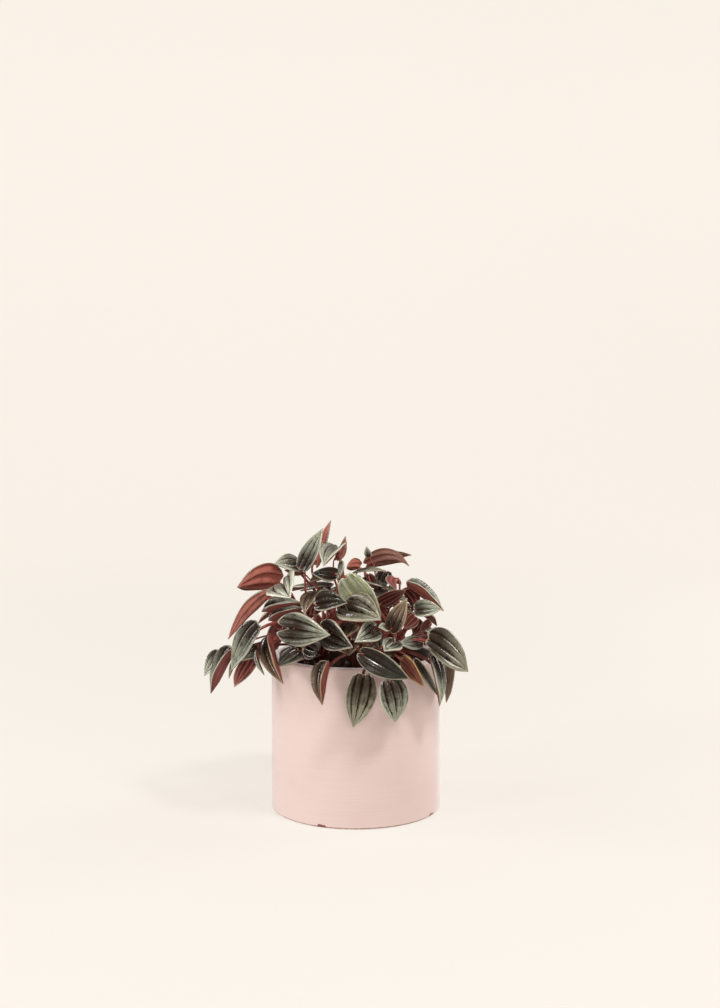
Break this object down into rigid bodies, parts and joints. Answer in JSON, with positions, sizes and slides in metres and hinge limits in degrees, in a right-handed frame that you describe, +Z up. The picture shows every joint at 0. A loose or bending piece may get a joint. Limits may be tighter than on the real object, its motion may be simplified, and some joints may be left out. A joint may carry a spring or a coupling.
{
  "type": "potted plant",
  "caption": "Small ribbed-leaf foliage plant mounded over a plain straight-sided cylindrical ceramic pot filled with soil.",
  "frame": {"origin": "centre of the pot's underside", "axes": "+Z up through the pot's axis, +X to the right and -Y towards the viewer as in the picture"},
  "size_m": [0.2008, 0.1721, 0.2231],
  "materials": {
    "pot": "matte",
    "soil": "matte",
    "foliage": "satin"
  },
  "bodies": {
    "root": {"pot": "pot", "soil": "soil", "leafy_stem_centre": "foliage", "leafy_stem_front": "foliage", "leafy_stem_front_left": "foliage", "leafy_stem_left": "foliage", "leafy_stem_back_left": "foliage", "leafy_stem_back": "foliage", "leafy_stem_back_right": "foliage", "leafy_stem_right": "foliage", "leafy_stem_front_right": "foliage"}
  },
  "joints": []
}
